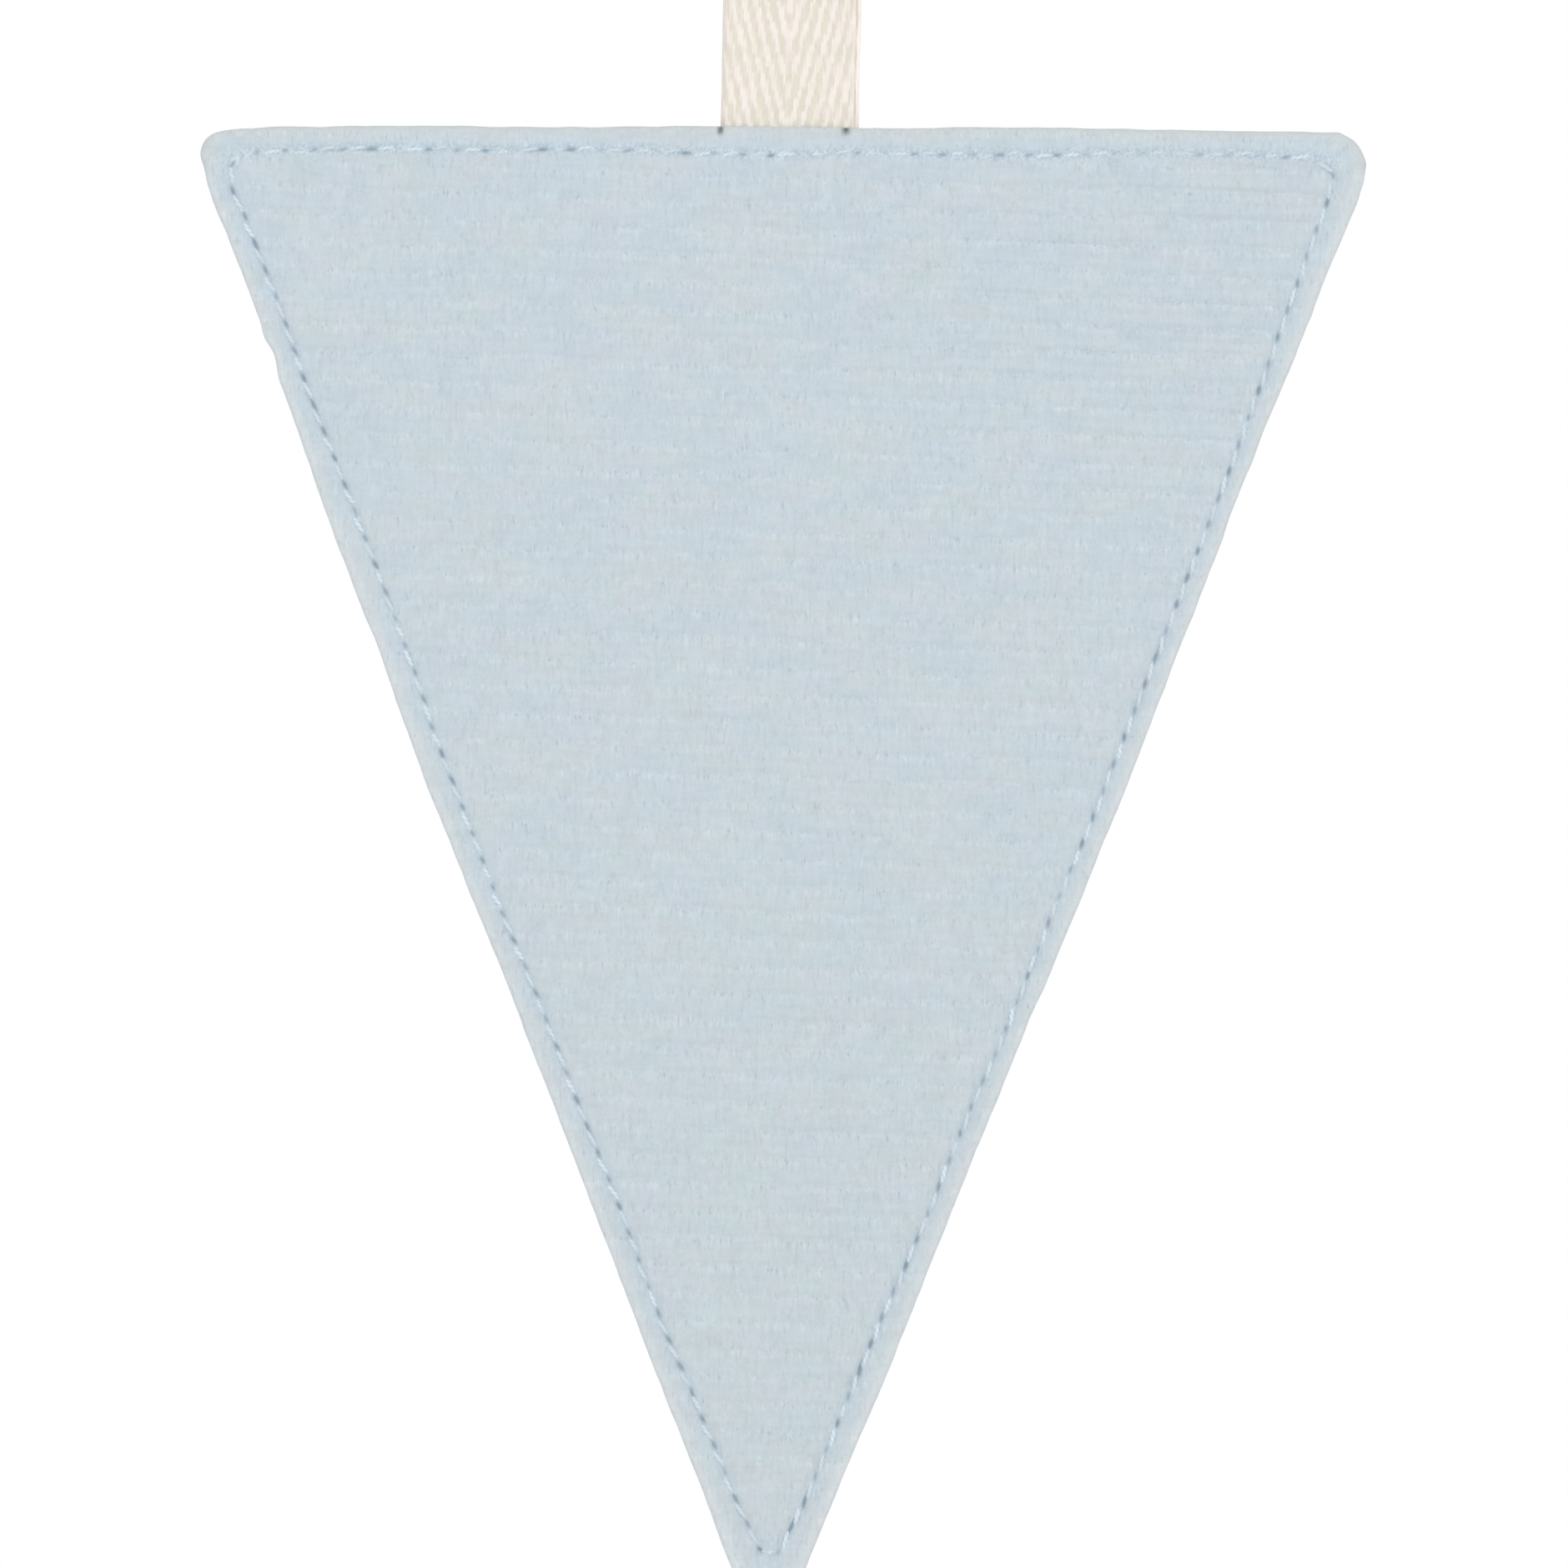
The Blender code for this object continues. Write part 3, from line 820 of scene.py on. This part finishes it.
def cord_finish(scene):
    """Short pile in ribs: two near tones, upright streaks, light flecks along the grooves, with painted
    light on the turned edge and painted shade beside the stitches, in the needle holes, in the seam's
    gaps and in the grooves.
    """
    cloth, tones = scene.pennant_cloth, scene.pennant_finishes
    look = Finish("velvet_cord_pile")
    place = look.place()
    split = look.node("ShaderNodeSeparateXYZ")
    look.link(place, split.inputs[0])
    x, z = split.outputs[0], split.outputs[2]
    level = look.math(
        "MULTIPLY_ADD", x, math.sin(cloth.rib_tilt), look.math("MULTIPLY", z, math.cos(cloth.rib_tilt))
    )
    wander = look.noise(place, (80.0, 80.0, 110.0), 0.0)
    level = look.math("MULTIPLY_ADD", level, 1.0 / cloth.rib_pitch, look.math("MULTIPLY", wander, 0.16))
    phase = look.math("FRACT", level)
    groove = look.math("ABSOLUTE", look.math("SUBTRACT", phase, 0.5))  # 0.5 in the groove
    in_groove = look.remap(groove, 0.36, 0.50)
    by_groove = look.remap(groove, 0.22, 0.38)
    under_groove = look.remap(phase, 0.55, 0.98)

    patches = look.remap(look.noise(place, (95.0, 95.0, 210.0), 3.0, 0.6), 0.38, 0.62)
    tone = look.mix(patches, rgba(tones.cord_blue), rgba(tones.cord_grey))
    low = look.remap(z, -0.190, -0.030, 0.55, 0.0)
    tone = look.mix(low, tone, rgba(tones.cord_low))
    cast = look.noise(place, (230.0, 230.0, 330.0), 4.0, 0.7)
    tone = look.mix(look.remap(cast, 0.50, 0.66, 0.0, 0.55), tone, rgba(tones.cord_green))
    tone = look.mix(look.remap(cast, 0.34, 0.50, 0.55, 0.0), tone, rgba(tones.cord_violet))
    inset, upper = look.value_of("inset"), look.value_of("upper")
    by_seam = look.math(
        "MULTIPLY", look.remap(inset, 1.5, 2.4), look.remap(inset, 2.7, 3.6, 1.0, 0.0)
    )
    # Painted shade in the furrow beside the stitches, stronger along the top
    seam_shade_share = look.math("MULTIPLY", by_seam, look.math("MULTIPLY_ADD", upper, 0.18, 0.32))
    tone = look.mix(seam_shade_share, tone, rgba(tones.cord_seam_shade))
    # Painted light on the turned edge, less bright along the top
    rim = look.mix(upper, rgba(tones.cord_rim_light), rgba(tones.cord_top_rim_light))
    tone = look.mix(look.remap(inset, 0.1, 1.5, 1.0, 0.0), tone, rim)

    pile = 1.0 / cloth.pile_pitch
    row_shift = look.node("ShaderNodeCombineXYZ")
    look.link(look.math("MULTIPLY", look.math("FLOOR", level), 0.0137), row_shift.inputs[0])
    by_row = look.node("ShaderNodeVectorMath", operation="ADD")
    look.link(place, by_row.inputs[0])
    look.link(row_shift.outputs[0], by_row.inputs[1])
    streaks = look.noise(by_row.outputs[0], (pile, pile, 0.22 * pile), 2.0, 0.55)
    grain = look.noise(place, (1.7 * pile, 1.7 * pile, 1.1 * pile), 2.0, 0.6)
    streak_share = look.math("MULTIPLY_ADD", under_groove, 0.15, 0.14)
    shade = look.math("MULTIPLY_ADD", look.math("SUBTRACT", streaks, 0.5), streak_share, 1.0)
    shade = look.math("MULTIPLY_ADD", look.math("SUBTRACT", grain, 0.5), 0.115, shade)
    mottle = look.noise(place, (420.0, 420.0, 640.0), 2.0, 0.6)
    shade = look.math("MULTIPLY_ADD", look.math("SUBTRACT", mottle, 0.5), 0.115, shade)
    ruffle = look.noise(place, (1.6 * pile, 1.6 * pile, 1.2 * pile), 2.0, 0.6)
    ruffled = look.math("MULTIPLY", look.math("SUBTRACT", ruffle, 0.5), by_seam)
    ruffled = look.math("MULTIPLY", ruffled, look.math("ADD", upper, 0.5))
    shade = look.math("MULTIPLY_ADD", ruffled, 0.55, shade)
    fleck = look.remap(look.noise(place, (1.7 * pile, 1.7 * pile, 0.25 * pile), 1.0), 0.52, 0.70)
    shade = look.math("MULTIPLY_ADD", look.math("MULTIPLY", fleck, by_groove), 0.060, shade)
    # Painted light near the stitches, mostly along the top, making up for the shading where the furrow
    # slopes down
    painted_lift = look.math(
        "MULTIPLY", look.remap(inset, 0.9, 2.0), look.remap(inset, 2.5, 3.1, 1.0, 0.0)
    )
    painted_lift = look.math("MULTIPLY", painted_lift, look.math("MULTIPLY_ADD", upper, 0.024, 0.008))
    shade = look.math("ADD", shade, painted_lift)
    weft = look.noise(place, (380.0, 380.0, 2500.0), 1.0)
    shade = look.math("MULTIPLY_ADD", look.math("SUBTRACT", weft, 0.5), 0.06, shade)
    speck = look.remap(look.noise(place, (1.6 * pile, 1.6 * pile, 0.4 * pile), 1.0), 0.60, 0.72)
    # Dark flecks of the pile, with more of them in the grooves as painted groove shade
    speck_and_groove_shade = look.math("MULTIPLY_ADD", in_groove, 0.22, 0.18)
    shaded = look.mix(
        look.math("MULTIPLY", speck, speck_and_groove_shade), look.toned(tone, shade), rgba(tones.cord_fleck_and_hole_shade)
    )
    # Painted shade in the needle holes
    shaded = look.mix(look.remap(look.value_of("hole"), 0.12, 0.8), shaded, rgba(tones.cord_fleck_and_hole_shade))
    # Painted shadow in the seam's gap beside the tape
    shaded = look.mix(look.value_of("notch"), shaded, rgba(tones.cord_gap_shadow))
    look.link(shaded, look.shader.inputs["Base Color"])
    look.bump(look.math("ADD", streaks, grain), 0.35, 0.00012)
    look.set(Roughness=0.92, Sheen_Weight=0.20, Sheen_Roughness=0.45, Specular_IOR_Level=0.18)
    return look.material


def thread_finish(scene):
    """Sewing thread, a little shiny, with painted shade where its plies meet."""
    tones = scene.pennant_finishes
    look = Finish("sewing_thread")
    grain = look.noise(look.place(), (5200.0, 5200.0, 5200.0), 2.0)
    ply_shade_and_tone = look.remap(look.value_of("ply_shade_and_tone"), 0.0, 1.0, 0.80, 1.04)
    shade = look.math("MULTIPLY_ADD", look.math("SUBTRACT", grain, 0.5), 0.10, ply_shade_and_tone)
    look.link(look.toned(rgba(tones.thread), shade), look.shader.inputs["Base Color"])
    look.bump(grain, 0.3, 0.00005)
    look.set(Roughness=0.55, Sheen_Weight=0.1, Specular_IOR_Level=0.35)
    return look.material


def tape_finish(scene):
    """Cream cotton yarns floating over a ground darkened by painted shade, with painted shade and light
    at the edges.
    """
    tones = scene.pennant_finishes
    look = Finish("herringbone_cotton")
    place = look.place()
    fibre = look.noise(place, (4200.0, 4200.0, 1300.0), 3.0, 0.6)
    patch = look.noise(place, (260.0, 260.0, 260.0), 2.0)
    frayed = look.noise(place, (2400.0, 2400.0, 600.0), 2.0, 0.6)
    risen = look.math("MULTIPLY_ADD", look.math("SUBTRACT", frayed, 0.5), 1.1, look.value_of("float"))
    # Painted shade where the weave lies low
    tone = look.mix(look.remap(risen, -0.1, 0.85), rgba(tones.tape_ground_shade), rgba(tones.tape_yarn))
    cast = look.noise(place, (900.0, 900.0, 420.0), 2.0, 0.6)
    tone = look.mix(look.remap(cast, 0.50, 0.66, 0.0, 0.5), tone, rgba(tones.tape_blush))
    tone = look.mix(look.remap(cast, 0.34, 0.50, 0.5, 0.0), tone, rgba(tones.tape_olive))
    shade = look.math("MULTIPLY_ADD", look.math("SUBTRACT", fibre, 0.5), 0.12, 1.0)
    shade = look.math("MULTIPLY_ADD", look.math("SUBTRACT", patch, 0.5), 0.05, shade)
    side = look.value_of("side")
    # Painted shade on the left edge and painted light on the right edge, as the light falls from the
    # right
    shade = look.math("MULTIPLY_ADD", look.remap(side, -0.5, -0.1, 1.0, 0.0), -0.05, shade)
    shade = look.math("MULTIPLY_ADD", look.remap(side, 0.1, 0.5), 0.06, shade)
    look.link(look.toned(tone, shade), look.shader.inputs["Base Color"])
    look.bump(fibre, 0.35, 0.00006)
    look.set(Roughness=0.88, Sheen_Weight=0.08, Specular_IOR_Level=0.25)
    return look.material


def floor_finish(scene):
    """Plain pale floor with a faint grain."""
    look = Finish("pale_floor")
    grain = look.noise(look.place(), (40.0, 40.0, 40.0), 3.0)
    shade = look.math("MULTIPLY_ADD", look.math("SUBTRACT", grain, 0.5), 0.02, 1.0)
    floor = rgba(scene.pennant_finishes.floor)
    look.link(look.toned(floor, shade), look.shader.inputs["Base Color"])
    look.set(Roughness=0.9, Specular_IOR_Level=0.1)
    return look.material


# Topstitching


def thread_mesh(name, scene, facing):
    """Every stitch of one side as a short twisted thread that dives into its two holes."""
    sewing, tape = scene.pennant_sewing, scene.pennant_tape
    outline = Outline(scene.pennant_cut, sewing, -tape.rise)
    shift = 0.0 if facing > 0 else tape.shift
    holes, ways = stitch_holes(outline, sewing)
    dice = np.random.default_rng(sewing.seed + (facing < 0))
    sections, sides = 15, 8
    turn = np.arange(sides) / sides * 2.0 * math.pi
    share = np.linspace(0.14, 0.80, sections)
    course = np.linspace(0.0, 1.0, sections)
    points, faces, plies = [], [], []
    for k, (here, way) in enumerate(zip(holes, ways)):
        there = holes[(k + 1) % len(holes)]
        beside = np.array([-way[1], way[0]])
        on_top = way[0] < -0.8
        sunk = (dice.uniform(-0.06, 0.12) if on_top else dice.uniform(-0.03, 0.20) ** 2 * 5.0) * MM
        stray = dice.normal(0.0, 0.16 if on_top else 0.06) * MM
        tilt = math.tan(sewing.slant) * dice.uniform(0.3, 1.6) * facing
        reach = np.linalg.norm(there - here)
        lean = (share - 0.5) * reach * tilt + stray
        rough = 0.75 if on_top else 0.25
        lean = lean + rough * 0.16 * MM * swell(share * 6.0, np.full(sections, k + 0.5), 41)
        middle = here + share[:, None] * (there - here) + lean[:, None] * beside
        base = STITCH_LEVEL * MM
        cover = tape_cover(tape, *middle.T, shift)
        base = (pocket_height(tape) + COVER_SHARE * base) * cover + base * (1.0 - cover)
        arch = np.sin(math.pi * course) ** 0.6
        dip = rough * 0.20 * MM * (1.0 + swell(share * 9.0, np.full(sections, k + 0.5), 42))
        height = base + arch * 0.38 * MM - 0.26 * MM - sunk - dip
        spine = np.stack([middle[:, 0], -facing * height, middle[:, 1]], axis=1)
        forward = np.gradient(spine, axis=0)
        forward /= np.linalg.norm(forward, axis=1)[:, None]
        up = np.array([0.0, -1.0 * facing, 0.0])
        across = np.cross(forward, up)
        across /= np.linalg.norm(across, axis=1)[:, None]
        rise = np.cross(across, forward)
        twist = share * reach / (1.3 * MM) * 2.0 * math.pi + dice.uniform(0.0, 6.0)
        taper = 0.55 + 0.45 * np.sin(math.pi * course) ** 0.5
        lobes = 0.86 + 0.14 * np.cos(2.0 * (turn[None] - twist[:, None]))
        radius = sewing.thread / 2 * (1.0 - 0.2 * rough) * lobes * taper[:, None]
        ring = (
            spine[:, None]
            + radius[..., None] * np.cos(turn)[None, :, None] * across[:, None]
            + radius[..., None] * np.sin(turn)[None, :, None] * rise[:, None]
        )
        start = len(points) * sections * sides
        points.append(ring.reshape(-1, 3))
        # Painted shade where the plies meet, scaled by a random tone for each stitch
        plies.append(((lobes - 0.72) / 0.28 * dice.uniform(0.35, 1.1)).ravel())
        for j in range(sections - 1):
            faces += loop_faces(start + j * sides, start + (j + 1) * sides, sides)
        faces.append(list(range(start, start + sides))[::-1])
        faces.append([start + (sections - 1) * sides + k for k in range(sides)])
    if facing > 0:
        faces = [face[::-1] for face in faces]
    piece = new_piece(name, np.vstack(points), faces)
    add_values(piece, "ply_shade_and_tone", np.concatenate(plies))
    return piece


# Hanging tape


def tape_path(tape, step):
    """The tape's middle from the front tail to the back one: forward, height, and run."""
    leg = tape.seat / 2
    crown_z = tape.rise + tape.crown_rise - tape.crown
    share = np.linspace(0.0, 1.0, 60)
    tail = np.stack([np.full(20, leg), np.linspace(-tape.tail, tape.neck, 20)], axis=1)[:-1]
    spread = leg + (tape.crown - leg) * ease(share)
    neck = np.stack([spread, tape.neck + (crown_z - tape.neck) * share], axis=1)[:-1]
    turn = np.linspace(0.0, math.pi, 90)
    crown = np.stack([tape.crown * np.cos(turn), crown_z + tape.crown * np.sin(turn)], axis=1)
    front = np.vstack([tail, neck])
    path = np.vstack([front, crown, front[::-1] * (-1.0, 1.0)])
    run = np.concatenate([[0.0], np.cumsum(np.linalg.norm(np.diff(path, axis=0), axis=1))])
    at = np.linspace(0.0, run[-1], round(run[-1] / step) + 1)
    return np.stack([np.interp(at, run, path[:, k]) for k in (0, 1)], axis=1), at


def weave(tape, across, along):
    """Height from 0 to 1 of the lengthwise yarns, which step down towards the middle."""
    yarn = np.floor(np.abs(across) / tape.warp)
    within = np.abs(across) / tape.warp - yarn - 0.5
    level = along / (4.0 * tape.pick) - yarn / 4.0
    level = level + 0.14 * swell(yarn * 1.3, along / (2.4 * MM), 21)
    phase = level - np.floor(level)
    floating = ease(phase / 0.22) * (1.0 - ease((phase - 0.46) / 0.22))
    bulge = np.sqrt(np.clip(1.0 - (1.5 * within) ** 2, 0.0, 1.0))
    firm = 1.0 + 0.42 * swell(yarn * 1.3, np.floor(level) + 0.37 * yarn, 22)
    return floating * bulge * firm


def tape_mesh(name, scene):
    """A woven ribbon along the folded path."""
    tape = scene.pennant_tape
    path, run = tape_path(tape, 0.33 * MM)
    rows = len(path)
    columns = 2 * round(tape.width / 2 / (0.135 * MM)) + 1
    across = np.linspace(-tape.width / 2, tape.width / 2, columns)
    ahead = np.gradient(path, axis=0)
    ahead /= np.linalg.norm(ahead, axis=1)[:, None]
    neck_run = tape.tail + tape.neck
    over = ease((run - neck_run) / (run[-1] - 2 * neck_run))
    side, at = np.meshgrid(across, run)
    edge = ease((tape.width / 2 - np.abs(side)) / tape.edge)
    outside = weave(tape, side, at) * edge + 0.35 * (1.0 - edge)
    inside = weave(tape, side, at + 2.0 * tape.pick) * edge + (1.0 - edge)
    ripple = 0.03 * MM * swell(side / (4.0 * MM), at / (5.0 * MM), 23)
    wander = 0.05 * MM * swell(np.sign(side), at / (3.0 * MM), 24) * (np.abs(side) > 7.0 * MM)
    half = tape.thick / 2 - tape.relief
    skins = []
    for sign, height in ((1.0, outside), (-1.0, inside)):
        thin = 1.8 * edge - 0.8 if sign > 0.0 else 1.0
        off = sign * (half * thin + tape.relief * height) + ripple
        forward = path[:, 0][:, None] + ahead[:, 1][:, None] * off
        up = path[:, 1][:, None] - ahead[:, 0][:, None] * off
        z = up - tape.rise
        x = side + wander + leg_x(tape, z) + tape.shift * over[:, None]
        skins.append(np.stack([x, -forward, z], axis=-1).reshape(-1, 3))
    points = np.vstack(skins)
    grid = np.arange(rows * columns).reshape(rows, columns)
    quads = np.stack([grid[:-1, :-1], grid[:-1, 1:], grid[1:, 1:], grid[1:, :-1]], axis=-1)
    quads = quads.reshape(-1, 4)
    faces = quads.tolist() + (quads[:, ::-1] + rows * columns).tolist()
    rim = np.concatenate([grid[0, :-1], grid[:-1, -1], grid[-1, :0:-1], grid[:0:-1, 0]])
    behind = rim + rows * columns
    ahead_rim, ahead_behind = np.roll(rim, -1), np.roll(behind, -1)
    faces += np.stack([rim, behind, ahead_behind, ahead_rim], axis=1).tolist()
    piece = new_piece(name, points, faces)
    add_values(piece, "float", np.concatenate([outside.ravel(), inside.ravel()]))
    # Marks the tape's left and right edges for their painted shade and light
    add_values(piece, "side", np.tile(((1.0 - edge) * np.sign(side)).ravel(), 2))
    return piece, run[-1]


# Operators


class MakePanels(bpy.types.Operator):
    """Makes the front and back panels of velvet cord"""

    bl_idname = "pennant.make_panels"
    bl_label = "Make Cord Panels"

    def execute(self, context):
        scene = context.scene
        finish = cord_finish(scene)
        for node, facing in (("panel_front", 1), ("panel_back", -1)):
            panel = panel_mesh("cord_" + node, scene, facing)
            panel.data.materials.append(finish)
            check_place(panel, node, 0.8 * MM)
            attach(panel, BODY)
            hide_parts(node)
        return {"FINISHED"}

    @staticmethod
    def girth(cut):
        half = cut.top_width / 2
        left = math.hypot(half + cut.tip_shift, cut.drop)
        right = math.hypot(half - cut.tip_shift, cut.drop)
        return cut.top_width + left + right


class MakeStitching(bpy.types.Operator):
    """Makes the topstitching of both sides"""

    bl_idname = "pennant.make_stitching"
    bl_label = "Make Topstitching"

    def execute(self, context):
        finish = thread_finish(context.scene)
        for side, facing in (("front", 1), ("back", -1)):
            thread = thread_mesh("topstitching_" + side, context.scene, facing)
            thread.data.materials.append(finish)
            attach(thread, BODY)
        return {"FINISHED"}


class MakeTape(bpy.types.Operator):
    """Makes the folded hanging tape"""

    bl_idname = "pennant.make_tape"
    bl_label = "Make Hanging Tape"

    def execute(self, context):
        tape, length = tape_mesh("herringbone_tape_loop", context.scene)
        tape.data.materials.append(tape_finish(context.scene))
        check_place(tape, "hanging_tape", 0.8 * MM)
        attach(tape, BODY)
        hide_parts("hanging_tape")
        return {"FINISHED"}


class MakeStudio(bpy.types.Operator):
    """Makes the floor, the light and the camera"""

    bl_idname = "pennant.make_studio"
    bl_label = "Make Studio"

    def execute(self, context):
        scene, studio = context.scene, context.scene.pennant_studio
        self.make_floor(scene, studio)
        self.make_world(scene, studio)
        centre = Vector((studio.centre_x, 0.0, studio.centre_z))
        self.make_light(scene, "front_softbox", centre, (0.05, -1.80, 0.35), 1.5, studio.key)
        self.make_camera(scene, studio, centre)
        scene.view_settings.view_transform = "Standard"
        return {"FINISHED"}

    def make_floor(self, scene, studio):
        sides = 96
        turn = np.arange(sides) / sides * 2.0 * math.pi
        radius = studio.floor_radius
        points = np.stack(
            [radius * np.cos(turn), radius * np.sin(turn), np.full(sides, -studio.floor_drop)], axis=1
        )
        floor = new_piece("pale_floor", points, [list(range(sides))])
        floor.data.materials.append(floor_finish(scene))

    def make_world(self, scene, studio):
        world = bpy.data.worlds.new("even_white_light")
        world.use_nodes = True
        tree = world.node_tree
        light = tree.nodes["Background"]
        light.inputs["Color"].default_value = (1.0, 1.0, 1.0, 1.0)
        light.inputs["Strength"].default_value = studio.ambient
        seen = tree.nodes.new("ShaderNodeBackground")
        seen.inputs["Color"].default_value = (1.0, 1.0, 1.0, 1.0)
        seen.inputs["Strength"].default_value = 1.0
        path = tree.nodes.new("ShaderNodeLightPath")
        mix = tree.nodes.new("ShaderNodeMixShader")
        tree.links.new(path.outputs["Is Camera Ray"], mix.inputs[0])
        tree.links.new(light.outputs[0], mix.inputs[1])
        tree.links.new(seen.outputs[0], mix.inputs[2])
        tree.links.new(mix.outputs[0], tree.nodes["World Output"].inputs["Surface"])
        scene.world = world

    def make_light(self, scene, name, centre, offset, width, power):
        data = bpy.data.lights.new(name, "AREA")
        data.energy = power
        data.size = width
        light = bpy.data.objects.new(name, data)
        light.location = centre + Vector(offset)
        light.rotation_euler = Vector(offset).to_track_quat("Z", "Y").to_euler()
        light.visible_camera = False
        scene.collection.objects.link(light)

    def make_camera(self, scene, studio, centre):
        data = bpy.data.cameras.new("photo_camera")
        data.lens = data.sensor_width * studio.distance / studio.picture
        data.clip_start = 0.01
        data.clip_end = 20.0
        camera = bpy.data.objects.new("photo_camera", data)
        camera.location = centre - Vector((0.0, studio.distance, 0.0))
        camera.rotation_euler = (math.pi / 2, 0.0, 0.0)
        scene.collection.objects.link(camera)
        scene.camera = camera


OPERATORS = (MakeStitching, MakePanels, MakeTape, MakeStudio)


class PennantPanel(bpy.types.Panel):
    """Lists the pennant's pieces and sizes"""

    bl_idname = "VIEW3D_PT_pennant"
    bl_label = "Bunting Pennant"
    bl_space_type = "VIEW_3D"
    bl_region_type = "UI"
    bl_category = "Pennant"

    def draw(self, context):
        for operator in OPERATORS:
            self.layout.operator(operator.bl_idname)
        for name, group in GROUPS.items():
            box = self.layout.box()
            box.label(text=group.__doc__)
            for key in group.__annotations__:
                box.prop(getattr(context.scene, name), key)


CLASSES = (*GROUPS.values(), *OPERATORS, PennantPanel)


def register():
    for kind in CLASSES:
        bpy.utils.register_class(kind)
    for name, group in GROUPS.items():
        setattr(bpy.types.Scene, name, bpy.props.PointerProperty(type=group))


def unregister():
    for name in GROUPS:
        delattr(bpy.types.Scene, name)
    for kind in reversed(CLASSES):
        bpy.utils.unregister_class(kind)


def main():
    register()
    bpy.ops.pennant.make_stitching()
    bpy.ops.pennant.make_panels()
    bpy.ops.pennant.make_tape()
    bpy.ops.pennant.make_studio()


if __name__ == "__main__":
    main()
